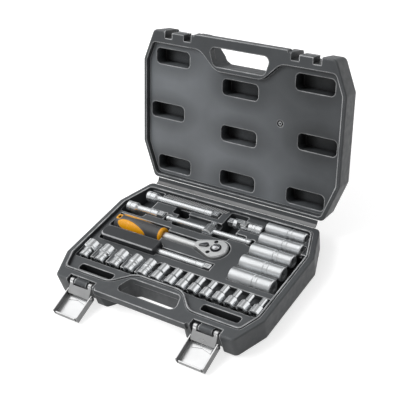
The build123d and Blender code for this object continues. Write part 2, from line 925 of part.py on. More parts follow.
def screw_places(z):
    """Places of the two cover screws at a height."""
    return [(head_x + screw_offset_x, ratchet_y + side * screw_offset_y, z) for side in (-1, 1)]


with BuildPart() as ratchet_head:
    with BuildSketch(Plane.XY.offset(head_bottom)):
        add(head_plan())
    extrude(amount=head_top - head_bottom)
    fillet(ratchet_head.faces().sort_by(Axis.Z)[0].edges(), 1.5)
    turned(
        (tang_start_x, ratchet_y, ratchet_z),
        (1, 0, 0),
        [
            (0, rod_radius),
            (collar_end_x - tang_start_x - 1, rod_radius),
            (collar_end_x - tang_start_x - 1, shank_radius),
            (collar_end_x - tang_start_x + 12, shank_radius),
            (neck_x - tang_start_x - 8, shank_radius - 0.4),
            (neck_x - tang_start_x, shank_radius + 0.4),
        ],
    )
    round_hole((head_x, ratchet_y, head_top), (0, 0, -1), bore_radius, head_top - gear_bottom + 0.2)
    round_hole(
        (head_x, ratchet_y, head_top), (0, 0, -1), journal_radius + running_gap, head_top - head_bottom
    )
    with BuildSketch(Plane.XY.offset(gear_bottom)):
        with Locations((selector_x, ratchet_y)):
            RectangleRounded(8.4, 13.0, 2.0)
    extrude(amount=head_top - gear_bottom, mode=Mode.SUBTRACT)
    for place in screw_places(head_top):
        round_hole(place, (0, 0, -1), screw_radius, screw_depth)
keep(ratchet_head, "ratchet_head")

cover_top = head_top + cover_thickness
with BuildPart() as ratchet_cover:
    with BuildSketch(Plane.XY.offset(head_top)):
        add(head_plan(0.7))
    extrude(amount=cover_thickness)
    chamfer(ratchet_cover.faces().sort_by(Axis.Z)[-1].edges(), 0.3)
    round_hole((head_x, ratchet_y, cover_top), (0, 0, -1), hub_radius + running_gap, cover_thickness)
    round_hole((selector_x, ratchet_y, cover_top), (0, 0, -1), selector_radius + running_gap, cover_thickness)
    for place in screw_places(cover_top):
        round_hole(place, (0, 0, -1), screw_radius + 0.9, 0.8)
        round_hole(place, (0, 0, -1), screw_radius, cover_thickness)
keep(ratchet_cover, "ratchet_cover")

with BuildPart() as ratchet_cover_screws:
    for place in screw_places(cover_top - 0.8):
        turned(
            place,
            (0, 0, -1),
            [(-0.6, screw_radius + 0.5), (-0.4, screw_radius + 0.8), (0, screw_radius + 0.8)],
        )
        turned(
            place,
            (0, 0, -1),
            [(0, screw_radius - running_gap), (screw_depth, screw_radius - running_gap)],
        )
        with Locations((place[0], place[1], place[2] + 0.6)):
            Box(0.6, 2.4, 0.6, mode=Mode.SUBTRACT)
            Box(2.4, 0.6, 0.6, mode=Mode.SUBTRACT)
keep(ratchet_cover_screws, "ratchet_cover_screws")

gear_drive_centre = (head_x, ratchet_y, head_bottom - drive_length / 2)
hub_top = cover_top + 0.5
button_top = tool_top - 0.6
button_travel = 1.5
with BuildPart() as ratchet_gear:
    turned(
        (head_x, ratchet_y, head_bottom - 0.3),
        (0, 0, 1),
        [
            (0, journal_radius),
            (gear_bottom - head_bottom + 0.5, journal_radius),
            (gear_bottom - head_bottom + 0.5, gear_radius),
            (gear_top - head_bottom + 0.3, gear_radius),
            (gear_top - head_bottom + 0.3, hub_radius),
            (hub_top - head_bottom + 0.3, hub_radius),
        ],
    )
    square_bar((head_x, ratchet_y, head_bottom), (0, 0, -1), drive_square, drive_length)
    chamfer(ratchet_gear.faces().sort_by(Axis.Z)[0].edges(), 0.6)
    with BuildSketch(Plane.XY.offset(gear_bottom + 0.2)):
        with Locations((head_x, ratchet_y)):
            with PolarLocations(gear_radius, gear_teeth):
                Rectangle(1.0, 1.0, rotation=45)
    extrude(amount=gear_top - gear_bottom, mode=Mode.SUBTRACT)
    round_hole((head_x, ratchet_y, hub_top), (0, 0, -1), button_radius + 0.2, 5.5)
    round_hole((head_x, ratchet_y, hub_top), (0, 0, -1), 1.5, 14.0)
    ball_seat(gear_drive_centre, (0, -1, 0))
keep(ratchet_gear, "ratchet_gear")
detent_ball("ratchet_ball", gear_drive_centre, (0, -1, 0))

with BuildPart() as ratchet_button:
    button_depth = button_top - hub_top + 5.5 - button_travel - 0.4
    turned(
        (head_x, ratchet_y, button_top),
        (0, 0, -1),
        [
            (0, 1.2),
            (0.4, 2.9),
            (1.2, button_radius - 0.4),
            (2.0, button_radius),
            (button_depth, button_radius),
            (button_depth, 1.2),
            (button_depth + 7.0, 1.2),
        ],
    )
keep(ratchet_button, "ratchet_button")


def selector_shape():
    """Outline of the selector's thumb lever, pointing along -X before it is turned."""
    with BuildSketch() as outline:
        Circle(selector_radius + 0.2)
        with Locations((-selector_reach, 0)):
            Circle(0.9)
        make_hull()
    return outline.sketch


with BuildPart() as ratchet_selector:
    with BuildSketch(Plane((selector_x, ratchet_y, cover_top + 0.3))):
        add(selector_shape(), rotation=selector_rest)
    extrude(amount=2.0)
    chamfer(ratchet_selector.faces().sort_by(Axis.Z)[-1].edges(), 0.5)
    turned(
        (selector_x, ratchet_y, cover_top + 0.3),
        (0, 0, -1),
        [(0, selector_radius), (cover_top + 0.3 - gear_bottom - 0.5, selector_radius)],
    )
keep(ratchet_selector, "ratchet_selector")

with BuildPart() as ratchet_pawl:
    with BuildSketch(Plane((selector_x, ratchet_y, gear_bottom + 0.6))):
        RectangleRounded(7.0, 10.4, 1.4, rotation=pawl_rest)
        Circle(selector_radius + running_gap, mode=Mode.SUBTRACT)
        with Locations((selector_offset, 0)):
            Circle(gear_radius + 0.9, mode=Mode.SUBTRACT)
    extrude(amount=gear_top - gear_bottom - 1.0)
keep(ratchet_pawl, "ratchet_pawl")


def grip_body(extra, bore=True):
    """Turned body of the ratchet's grip, fuller by the extra radius."""
    points = [(x, radius + extra) for x, radius in grip_stations]
    side = Plane(origin=(ratchet_butt_x, ratchet_y, ratchet_z), x_dir=(1, 0, 0), z_dir=(0, -1, 0))
    with BuildPart() as body:
        with BuildSketch(side):
            with BuildLine():
                Polyline((0, 0), (0, grip_butt_radius + extra), points[0])
                Spline(*points)
                Polyline(points[-1], (grip_length, 0), (0, 0))
            make_face()
        revolve(axis=ratchet_axis)
        if bore:
            round_hole(
                (grip_end_x, ratchet_y, ratchet_z), (-1, 0, 0), rod_radius, grip_end_x - tang_start_x
            )
    return body.part


grip_full = grip_body(0.0)
inlay_outer = grip_body(inlay_proud, bore=False)
inlay_inner = grip_body(-inlay_depth, bore=False)

with BuildPart() as ratchet_grip_inlays:
    for side in (-1, 1):
        tilt = math.radians(inlay_tilt)
        facing = (0, side * math.sin(tilt), math.cos(tilt))
        centre = (ratchet_butt_x + inlay_centre, ratchet_y, ratchet_z)
        with BuildSketch(Plane(origin=centre, x_dir=(1, 0, 0), z_dir=facing)):
            Ellipse(inlay_half_length, inlay_half_width, rotation=side * 11)
        extrude(amount=2 * head_radius)
    add(inlay_outer, mode=Mode.INTERSECT)
    add(inlay_inner, mode=Mode.SUBTRACT)
keep(ratchet_grip_inlays, "ratchet_grip_inlays")

eyelet_centre = (ratchet_butt_x + 6.5, ratchet_y)
with BuildPart() as ratchet_grip:
    add(grip_full)
    add(ratchet_grip_inlays.part, mode=Mode.SUBTRACT)
    with BuildSketch(Plane.XY.offset(ratchet_z - 2 * head_radius)):
        with Locations(eyelet_centre):
            RectangleRounded(6.4, 7.4, 1.6)
    extrude(amount=4 * head_radius, mode=Mode.SUBTRACT)
keep(ratchet_grip, "ratchet_grip")

with BuildPart() as ratchet_grip_eyelet:
    with BuildSketch(Plane.XY.offset(ratchet_z - 7.6)):
        with Locations(eyelet_centre):
            RectangleRounded(6.4, 7.4, 1.6)
            RectangleRounded(3.2, 4.2, 0.9, mode=Mode.SUBTRACT)
    extrude(amount=16.4)
keep(ratchet_grip_eyelet, "ratchet_grip_eyelet")

with BuildPart() as ratchet_grip_collar:
    turned(
        (grip_end_x, ratchet_y, ratchet_z),
        (1, 0, 0),
        [(0, 8.3), (0.8, 8.7), (2.8, 8.5), (collar_length, 7.2)],
    )
    round_hole((collar_end_x, ratchet_y, ratchet_z), (-1, 0, 0), rod_radius, collar_length)
    round_hole((collar_end_x, ratchet_y, ratchet_z), (-1, 0, 0), shank_radius, 1.0)
keep(ratchet_grip_collar, "ratchet_grip_collar")


# Tool tray: a thin moulded plate with a pocket for each tool and wells for fingers

left_well_x, right_well_x = -84.0, 108.6
side_limit = case_width / 2 - base_rim_width - tray_seam - tray_wall - 1.0
back_limit = case_depth / 2 - base_rim_width - tray_seam - tray_wall - 0.6
deep_floor = 6.0
drive_floor = 12.0
saddle_half = 2.5
saddle_x = (-49.5, 46.0)
tee_floor = bar_z - tee_head_radius - pocket_gap
tee_rod_floor = bar_z - tee_rod_radius - pocket_gap
tee_drive_floor = bar_z - drive_square / 2 - pocket_gap
tee_slot_left, tee_slot_right = saddle_x[0] + saddle_half, 27.0
tee_slot_front, tee_slot_back = tee_head_front - 0.5, tee_head_back + 0.9
fork_floor = 12.4
nose_floor = 17.0
front_wells = [(-75.5, -60.9), (80.2, -58.0)]
front_well_half = (22.5, 4.2)

# Box pockets are given by two plan corners and a floor height.
box_pockets = [
    ((-side_limit, 31.5), (left_well_x, back_limit), drive_floor - 2),
    ((-57.0, tee_slot_back + 2.5), (-37.0, long_y - 2), deep_floor),
    ((7.0, tee_slot_back - 1), (29.5, back_limit), deep_floor),
    ((28.0, universal_y - 6.8), (universal_pivot_x + 9, universal_y + 6.8), fork_floor),
    ((tee_left - 3, tee_y - 5), (saddle_x[0] - saddle_half, tee_y + 5), tee_floor),
    ((tee_slot_left, tee_slot_front), (tee_slot_right, tee_slot_back), tee_floor),
    ((tee_slot_right - 3, tee_y - 3.7), (saddle_x[1] - saddle_half, tee_slot_back), tee_rod_floor),
    ((saddle_x[1] + saddle_half, tee_y - 5), (tee_right + 3, tee_y + 5), tee_floor),
    ((tee_slot_left, tee_y), (tee_slot_right, tee_tip + 1), tee_drive_floor),
    (
        (spinner_butt_x - 2, spinner_y - spinner_width / 2 - 0.8),
        (spinner_shoulder_x + 1, spinner_y + spinner_width / 2 + 0.8),
        spinner_low - pocket_gap,
    ),
    ((-side_limit + 1, short_drive_y - 1.6), (-35.0, short_drive_y + 3), drive_floor),
    ((-36.0, short_drive_y - 0.6), (36.0, short_drive_y + 3), drive_floor),
    ((35.0, short_drive_y - 1.6), (side_limit - 1, short_drive_y + 3), drive_floor),
    ((-21.0, short_drive_y + 11.0), (side_limit, short_drive_y + short_length + 3.4), nose_floor),
    ((right_well_x - 3, -15.0), (side_limit, 46.0), drive_floor),
]
for x, y in front_wells:
    low = (x - front_well_half[0], y - front_well_half[1])
    high = (x + front_well_half[0], y + front_well_half[1])
    box_pockets.append((low, high, deep_floor))

# Round pockets are given by the two ends of the tool's axis and a radius.
round_pockets = [
    ((ratchet_butt_x - 1.5, ratchet_y, ratchet_z), (collar_end_x + 1, ratchet_y, ratchet_z), 10.6),
    ((collar_end_x, ratchet_y, ratchet_z), (neck_x + 8, ratchet_y, ratchet_z), neck_radius + 0.8),
    ((spinner_shoulder_x, spinner_y, spinner_z), (spinner_tip_x + 1.5, spinner_y, spinner_z), 5.2),
    ((long_left - 1, long_y, bar_z), (long_left + 17, long_y, bar_z), collar_radius + 0.3),
    ((long_left + 16, long_y, bar_z), (long_right + 1.5, long_y, bar_z), rod_radius + 0.8),
    ((short_left - 1, short_y, bar_z), (short_left + 17, short_y, bar_z), collar_radius + 0.3),
    ((short_left + 16, short_y, bar_z), (short_right + 1, short_y, bar_z), rod_radius + 0.8),
    ((tee_left - 2, tee_y, bar_z), (tee_right + 2, tee_y, bar_z), tee_rod_radius),
    (
        (universal_pivot_x + 8, universal_y, bar_z),
        (universal_right + 1, universal_y, bar_z),
        collar_radius + 0.3,
    ),
]
for x, z, radius in short_places():
    round_pockets.append(
        ((x, short_drive_y - 1, z), (x, short_drive_y + short_length + 0.8, z), radius)
    )
for left, y, z, radius, length in deep_places():
    round_pockets.append(((left - 0.8, y, z), (left + length + 0.8, y, z), radius))


def box_pocket(low, high, floor, grow, mode):
    """Adds a box pocket's outer cup, or cuts its hollow."""
    width, depth = high[0] - low[0], high[1] - low[1]
    with BuildSketch(Plane.XY.offset(floor - grow)) as plan:
        with Locations(((low[0] + high[0]) / 2, (low[1] + high[1]) / 2)):
            radius = min(pocket_radius, 0.4 * min(width, depth)) + grow
            RectangleRounded(width + 2 * grow, depth + 2 * grow, radius)
        add(well_plan(base_rim_width, tray_seam + tray_wall - grow), mode=Mode.INTERSECT)
    top = tray_top if mode == Mode.ADD else tray_lip_top + 1
    extrude(plan.sketch, amount=top - floor + grow, mode=mode)


def round_pocket(start, end, radius, grow, mode):
    """Adds a round-bottomed pocket's outer cup, or cuts its hollow."""
    along = [e - s for s, e in zip(start, end)]
    length = math.hypot(*along)
    direction = tuple(a / length for a in along)
    origin = tuple(s - grow * d for s, d in zip(start, direction))
    reach = radius + pocket_gap + grow
    top = (tray_top if mode == Mode.ADD else tray_lip_top + 1) - start[2]
    section_plane = Plane(origin=origin, x_dir=(-direction[1], direction[0], 0), z_dir=direction)
    with BuildSketch(section_plane) as section:
        Circle(reach)
        if top > 0:
            with Locations((0, top / 2)):
                Rectangle(2 * reach, top)
        with Locations((0, top - 2 * reach)):
            Rectangle(4 * reach, 4 * reach, mode=Mode.INTERSECT)
    extrude(section.sketch, amount=length + 2 * grow, mode=mode)


with BuildPart() as tool_tray:
    with BuildSketch(Plane.XY.offset(tray_top - tray_wall)):
        add(well_plan(base_rim_width, tray_seam))
    extrude(amount=tray_wall)
    with BuildSketch(Plane.XY.offset(tray_top - tray_wall)):
        add(well_plan(base_rim_width, tray_seam))
        add(well_plan(base_rim_width, tray_seam + tray_wall), mode=Mode.SUBTRACT)
    extrude(amount=tray_lip_top - tray_top + tray_wall)
    for grow, mode in ((tray_wall, Mode.ADD), (0.0, Mode.SUBTRACT)):
        for low, high, floor in box_pockets:
            box_pocket(low, high, floor, grow, mode)
        for start, end, radius in round_pockets:
            round_pocket(start, end, radius, grow, mode)
        with BuildSketch(Plane.XY.offset(head_bottom - pocket_gap - grow)):
            add(head_plan(-2 - grow))
        extrude(amount=tray_top - head_bottom + pocket_gap + grow, mode=mode)
        with BuildSketch(Plane.XY.offset(deep_floor - grow)):
            with Locations((head_x, ratchet_y)):
                Circle(7.5 + grow)
        extrude(amount=tray_top - deep_floor + grow, mode=mode)
keep(tool_tray, "tool_tray")
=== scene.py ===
import json
import math

import bmesh
import bpy
from mathutils import Matrix, Vector


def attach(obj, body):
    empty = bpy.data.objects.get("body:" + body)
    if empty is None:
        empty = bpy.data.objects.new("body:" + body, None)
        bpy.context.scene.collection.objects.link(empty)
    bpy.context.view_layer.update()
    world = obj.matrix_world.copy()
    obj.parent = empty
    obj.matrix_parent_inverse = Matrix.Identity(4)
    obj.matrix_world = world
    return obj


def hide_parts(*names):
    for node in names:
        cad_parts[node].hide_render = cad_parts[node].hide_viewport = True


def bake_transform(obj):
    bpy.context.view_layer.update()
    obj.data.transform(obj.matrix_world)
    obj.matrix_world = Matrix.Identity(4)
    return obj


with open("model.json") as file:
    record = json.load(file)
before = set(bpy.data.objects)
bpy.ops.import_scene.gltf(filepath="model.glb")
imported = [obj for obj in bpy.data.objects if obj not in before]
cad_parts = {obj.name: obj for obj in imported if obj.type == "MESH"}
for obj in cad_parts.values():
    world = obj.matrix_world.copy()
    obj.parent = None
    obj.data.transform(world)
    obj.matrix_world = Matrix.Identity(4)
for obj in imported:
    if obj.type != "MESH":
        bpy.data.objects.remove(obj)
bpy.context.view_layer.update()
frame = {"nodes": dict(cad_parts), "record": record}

nodes = frame["nodes"]

# Where the case's parts are, in metres, as in the solids
FOLD = Vector((0, 0.0896, 0.026))
LID_ANGLE = math.radians(109.7)
LID_REACH = Vector((0, -math.cos(LID_ANGLE), math.sin(LID_ANGLE)))
LID_OUT = Vector((0, math.sin(LID_ANGLE), math.cos(LID_ANGLE)))
TRAY_TOP = 0.023


# Shader helpers. A ramp is the low, high, start and end that spread takes.

def new_material(name):
    """A node material, its tree and its shader."""
    material = bpy.data.materials.new(name)
    material.use_nodes = True
    shader = material.node_tree.nodes["Principled BSDF"]
    return material, material.node_tree, shader


def own_place(tree):
    """The piece's own coordinates."""
    return tree.nodes.new("ShaderNodeTexCoord").outputs["Object"]


def noise(tree, scale, detail=3.0, stretch=(1, 1, 1)):
    """Noise over the piece's own coordinates, stretched along its axes."""
    mapping = tree.nodes.new("ShaderNodeMapping")
    mapping.inputs["Scale"].default_value = stretch
    texture = tree.nodes.new("ShaderNodeTexNoise")
    texture.inputs["Scale"].default_value = scale
    texture.inputs["Detail"].default_value = detail
    tree.links.new(own_place(tree), mapping.inputs["Vector"])
    tree.links.new(mapping.outputs["Vector"], texture.inputs["Vector"])
    return texture.outputs["Fac"]


def spread(tree, value, low, high, start=0.3, end=0.7):
    """A value's range from start to end spread from low to high."""
    ramp = tree.nodes.new("ShaderNodeMapRange")
    ramp.inputs["From Min"].default_value = start
    ramp.inputs["From Max"].default_value = end
    ramp.inputs["To Min"].default_value = low
    ramp.inputs["To Max"].default_value = high
    tree.links.new(value, ramp.inputs["Value"])
    return ramp.outputs["Result"]


def mixed(tree, factor, first, second):
    """Two colours mixed by a factor. Either may be a colour or a socket."""
    mix = tree.nodes.new("ShaderNodeMix")
    mix.data_type = "RGBA"
    tree.links.new(factor, mix.inputs["Factor"])
    for value, socket in ((first, mix.inputs["A"]), (second, mix.inputs["B"])):
        if isinstance(value, tuple):
            socket.default_value = (*value, 1)
        else:
            tree.links.new(value, socket)
    return mix.outputs["Result"]


def joined(tree, operation, first, second):
    """Two values joined by an operation."""
    node = tree.nodes.new("ShaderNodeMath")
    node.operation = operation
    tree.links.new(first, node.inputs[0])
    tree.links.new(second, node.inputs[1])
    return node.outputs["Value"]


def product(tree, first, second):
    """Two values multiplied."""
    return joined(tree, "MULTIPLY", first, second)


def largest(tree, first, second):
    """The larger of two values."""
    return joined(tree, "MAXIMUM", first, second)


def towards(tree, direction_socket, direction):
    """How far a direction in the shader points along a fixed direction."""
    node = tree.nodes.new("ShaderNodeVectorMath")
    node.operation = "DOT_PRODUCT"
    node.inputs[1].default_value = Vector(direction).normalized()
    tree.links.new(direction_socket, node.inputs[0])
    return node.outputs["Value"]


def rounded_normal(tree, radius):
    """Normal that runs smoothly over the edges."""
    bevel = tree.nodes.new("ShaderNodeBevel")
    bevel.samples = 6
    bevel.inputs["Radius"].default_value = radius
    return bevel.outputs["Normal"]


def openness(tree, reach, inside=False):
    """How open a point of the piece is within a reach, outside its surface or inside it."""
    node = tree.nodes.new("ShaderNodeAmbientOcclusion")
    node.samples = 8
    node.inside = inside
    node.only_local = True
    node.inputs["Distance"].default_value = reach
    return node.outputs["AO"]


def bump(tree, height, distance, strength, normal):
    """Bump from a height, on top of another normal."""
    node = tree.nodes.new("ShaderNodeBump")
    node.inputs["Distance"].default_value = distance
    node.inputs["Strength"].default_value = strength
    tree.links.new(height, node.inputs["Height"])
    tree.links.new(normal, node.inputs["Normal"])
    return node.outputs["Normal"]


def scaled(color, factor):
    """A colour made darker or lighter."""
    return tuple(min(1.0, channel * factor) for channel in color)


def toned(tree, color, tone):
    """A colour multiplied by a tone."""
    mix = tree.nodes.new("ShaderNodeMix")
    mix.data_type = "RGBA"
    mix.blend_type = "MULTIPLY"
    mix.inputs["Factor"].default_value = 1.0
    tree.links.new(color, mix.inputs["A"])
    tree.links.new(tone, mix.inputs["B"])
    return mix.outputs["Result"]


def tone_along(tree, direction, ramp):
    """A tone that changes along a direction in the piece's own coordinates."""
    return spread(tree, towards(tree, own_place(tree), direction), *ramp)


# Moulded plastic

MOTTLE_SCALE = 16.0
MOTTLE_DARK = 0.84
MOTTLE_LIGHT = 1.14
# Painted shade: colour darkened where the piece is enclosed, in hollows within this reach and in creases
# within the crease reach.
HOLLOW_REACH = 0.016
HOLLOW_END = 0.8
CREASE_REACH = 0.003
CREASE_RAMP = (0.3, 1.0, 0.35, 0.8)
# Painted highlights on edges and painted glints towards the light: their reach, ramps, the light's direction
# and the noise that breaks them up.
EDGE_REACH = 0.0013
EDGE_RAMP = (1.0, 0.0, 0.5, 0.95)
EDGE_LIGHT = (-0.45, -0.62, 0.64)
LIT_RAMP = (0.06, 1.0, 0.3, 0.8)
GLINT_RAMP = (0.0, 0.7, 0.82, 0.9)
HIGHLIGHT_BREAKUP_SCALE = 70.0
HIGHLIGHT_BREAKUP_SPREAD = (0.35, 1.0)
GLOSS_SCALE = 160.0
GRAIN_SCALE = 1100.0
GRAIN_DETAIL = 2.0
GRAIN_HEIGHT = 0.00025


def plastic_body(tree, color, hollow_shade, tone, crease_shade):
    """Faintly mottled colour, with painted shade darkening it in hollows and creases."""
    mottle = spread(tree, noise(tree, MOTTLE_SCALE), 0.0, 1.0)
    body = mixed(tree, mottle, scaled(color, MOTTLE_DARK), scaled(color, MOTTLE_LIGHT))
    if tone:
        body = toned(tree, body, tone(tree))
    darkest, start = hollow_shade
    shade = spread(tree, openness(tree, HOLLOW_REACH), darkest, 1.0, start, HOLLOW_END)
    return toned(tree, toned(tree, body, shade), crease_shade)


def painted_edge_highlights(tree, normal, crease_shade, glint):
    """Strength of the painted highlight on an edge: most where it is sharp, open and towards the light,
    broken up by noise; with glint, also a painted glint on faces towards the light.
    """
    facing = towards(tree, normal, EDGE_LIGHT)
    edge_line = spread(tree, openness(tree, EDGE_REACH, inside=True), *EDGE_RAMP)
    highlight_breakup = spread(tree, noise(tree, HIGHLIGHT_BREAKUP_SCALE), *HIGHLIGHT_BREAKUP_SPREAD)
    highlight_mask = product(tree, edge_line, spread(tree, facing, *LIT_RAMP))
    highlight_mask = product(tree, product(tree, highlight_mask, highlight_breakup), crease_shade)
    if glint:
        highlight_mask = largest(tree, highlight_mask, spread(tree, facing, *GLINT_RAMP))
    return highlight_mask


def moulded_plastic(
    name, color, edge, rough=(0.42, 0.58), grain_depth=0.12, hollow_shade=(0.25, 0.2), tone=None, glint=False
):
    """Moulded plastic: fine grain, faint mottling, painted shade in hollows and painted highlights on edges
    towards the light.
    """
    material, tree, shader = new_material(name)
    normal = rounded_normal(tree, EDGE_REACH)
    crease_shade = spread(tree, openness(tree, CREASE_REACH), *CREASE_RAMP)
    body = plastic_body(tree, color, hollow_shade, tone, crease_shade)
    highlight_mask = painted_edge_highlights(tree, normal, crease_shade, glint)
    grain = noise(tree, GRAIN_SCALE, GRAIN_DETAIL)
    # The edge colour is a painted highlight, mixed in by its mask.
    tree.links.new(mixed(tree, highlight_mask, body, edge), shader.inputs["Base Color"])
    tree.links.new(spread(tree, noise(tree, GLOSS_SCALE), *rough), shader.inputs["Roughness"])
    tree.links.new(bump(tree, grain, GRAIN_HEIGHT, grain_depth, normal), shader.inputs["Normal"])
    return material


# Plated metal

HAZE_SCALE = 70.0
HAZE_DARK = 0.92
# Painted shade in the metal's corners
CORNER_SHADE_REACH = 0.006
CORNER_SHADE_RAMP = (0.5, 1.0, 0.15, 0.7)
SHEEN_SCALE = 60.0
LINE_DETAIL = 2.0
LINE_HEIGHT = 0.00008
METAL_EDGE_REACH = 0.0004
# Ramps of the painted light by facing
BOTH_FACES_RAMP = (0.22, 0.5, 0.36, 0.9)
BRIGHT_FACE_RAMP = (0.22, 1.0, 0.6, 0.95)


def painted_face_light(tree, face):
    """Painted light: bright on the side towards a direction, half as bright on the side away from it,
    painted shade between them.
    """
    own_normal = tree.nodes.new("ShaderNodeTexCoord").outputs["Normal"]
    along_face = towards(tree, own_normal, face)
    both_faces = spread(tree, product(tree, along_face, along_face), *BOTH_FACES_RAMP)
    return largest(tree, both_faces, spread(tree, along_face, *BRIGHT_FACE_RAMP))


def plated_metal(
    name, color, rough, stretch=(1, 1, 1), line_scale=900.0, depth=0.015, metallic=1.0, face=None
):
    """Plated metal: slight haze, fine tooling lines, softened edges, painted shade in corners and, with a
    face, painted light by facing.
    """
    material, tree, shader = new_material(name)
    shader.inputs["Metallic"].default_value = metallic
    haze = spread(tree, noise(tree, HAZE_SCALE), 0.0, 1.0)
    body = mixed(tree, haze, scaled(color, HAZE_DARK), color)
    # Painted shade, darker in the corners
    body = toned(tree, body, spread(tree, openness(tree, CORNER_SHADE_REACH), *CORNER_SHADE_RAMP))
    # Painted light and shade by which way the surface faces
    if face:
        body = toned(tree, body, painted_face_light(tree, face))
    lines = noise(tree, line_scale, LINE_DETAIL, stretch)
    normal = rounded_normal(tree, METAL_EDGE_REACH)
    tree.links.new(body, shader.inputs["Base Color"])
    tree.links.new(spread(tree, noise(tree, SHEEN_SCALE), *rough), shader.inputs["Roughness"])
    tree.links.new(bump(tree, lines, LINE_HEIGHT, depth, normal), shader.inputs["Normal"])
    return material


# Painted sheen and shade on the lid's liner, and painted sheen on the hinge web

# Each row of pockets: the outer ones' distance from the middle, then the reach of the middle and outer ones
LINER_ROWS = [(0.0885, 0.1245, 0.145), (0.095, 0.0735, 0.0835), (0.085, 0.0225, 0.0225)]
# Size and ramp of the painted shade around each pocket
POCKET_HALO = (0.034, 0.020, 0.020)
HALO_RAMP = (0.66, 1.0, 0.75, 1.35)
# Place, size and ramp of the painted shade in the moulding mark
MARK_X = 0.0506
MARK_REACH = 0.0975
MARK_RADIUS = 0.0028
MARK_HALF_WIDTH = 0.0013
MARK_RAMP = (1.0, 0.2, 0.0, 1.0)
# Painted sheen across the liner and along the web
LINER_ACROSS = (0.67, 0, 0.75)
LINER_RAMP = (1.45, 0.66, 0.06, 0.14)
WEB_RAMP = (0.55, 1.5, -0.09, 0.09)


def lid_point(x, reach):
    """A point of the open lid, by its place along the hinge and its distance from the fold."""
    return Vector((x, FOLD.y, FOLD.z)) + reach * LID_REACH


def distance(tree, place, centre, size=(1, 1, 1)):
    """How far a place is from a centre, measured in the given sizes."""
    offset = tree.nodes.new("ShaderNodeVectorMath")
    offset.operation = "SUBTRACT"
    offset.inputs[1].default_value = centre
    stretch = tree.nodes.new("ShaderNodeVectorMath")
    stretch.operation = "DIVIDE"
    stretch.inputs[1].default_value = size
    length = tree.nodes.new("ShaderNodeVectorMath")
    length.operation = "LENGTH"
    tree.links.new(place, offset.inputs[0])
    tree.links.new(offset.outputs["Vector"], stretch.inputs[0])
    tree.links.new(stretch.outputs["Vector"], length.inputs[0])
    return length.outputs["Value"]


def mark_shade(tree, place):
    """Painted shade in the ring of the round moulding mark."""
    ring = tree.nodes.new("ShaderNodeMath")
    ring.operation = "COMPARE"
    ring.inputs[1].default_value = MARK_RADIUS
    ring.inputs[2].default_value = MARK_HALF_WIDTH
    tree.links.new(distance(tree, place, lid_point(MARK_X, MARK_REACH)), ring.inputs[0])
    return spread(tree, ring.outputs["Value"], *MARK_RAMP)


def liner_sheen_and_shade(tree):
    """Painted sheen, paler to the lower left; painted shade around each pocket and in the moulding mark."""
    place = own_place(tree)
    tone = tone_along(tree, LINER_ACROSS, LINER_RAMP)
    for outer_x, middle_reach, outer_reach in LINER_ROWS:
        for x, reach in ((0, middle_reach), (-outer_x, outer_reach), (outer_x, outer_reach)):
            near = distance(tree, place, lid_point(x, reach), POCKET_HALO)
            tone = product(tree, tone, spread(tree, near, *HALO_RAMP))
    return product(tree, tone, mark_shade(tree, place))


def web_tone(tree):
    """The hinge web catches more light to the right."""
    return tone_along(tree, (1, 0, 0), WEB_RAMP)


# Materials

CASE = (0.056, 0.060, 0.064)
# Colour of the painted highlights on edges
EDGE_HIGHLIGHT = (0.82, 0.83, 0.84)
CHROME = (0.84, 0.86, 0.875)
AROUND_X = (1, 0.02, 0.02)
AROUND_Y = (0.02, 1, 0.02)
BRUSHED = (1, 0.05, 0.05)
BRUSHED_SCALE = 700.0
# The lever floor's upper side, which the lever's painted light faces
LEVER_FACE = (0, -0.242, 0.970)

PLASTICS = {
    "case_plastic": dict(color=CASE, edge=EDGE_HIGHLIGHT),
    "tray_plastic": dict(color=CASE, edge=scaled(EDGE_HIGHLIGHT, 1.1), rough=(0.36, 0.5), hollow_shade=(0.26, 0.12)),
    # A paler copy of the case plastic, painted sheen, with deep painted shade in its pockets.
    "liner_plastic": dict(
        color=scaled(CASE, 1.9), edge=scaled(EDGE_HIGHLIGHT, 0.8), rough=(0.4, 0.55), hollow_shade=(0.02, 0.45),
        tone=liner_sheen_and_shade
    ),
    # A paler copy for the base's half of the hinge web: painted highlight, brighter to the right.
    "web_plastic": dict(
        color=(0.15, 0.154, 0.158), edge=(0.22, 0.22, 0.22), rough=(0.3, 0.45), tone=web_tone
    ),
    # A darker copy for the lid's half of the hinge web: painted shade.
    "fold_plastic": dict(color=scaled(CASE, 0.8), edge=CASE),
    "rib_plastic": dict(color=(0.30, 0.305, 0.31), edge=(0.5, 0.5, 0.5), rough=(0.3, 0.45)),
    # glint adds a painted glint on faces towards the light.
    "black_plastic": dict(
        color=(0.024, 0.026, 0.029), edge=(0.62, 0.63, 0.64), rough=(0.3, 0.42), glint=True
    ),
    "grip_rubber": dict(
        color=(0.06, 0.06, 0.062), edge=(0.14, 0.14, 0.14), rough=(0.26, 0.36), grain_depth=0.05
    ),
    "orange_plastic": dict(
        color=(0.76, 0.33, 0.008), edge=(0.86, 0.42, 0.05), rough=(0.2, 0.3), grain_depth=0.04,
        hollow_shade=(0.6, 0.2)
    ),
}
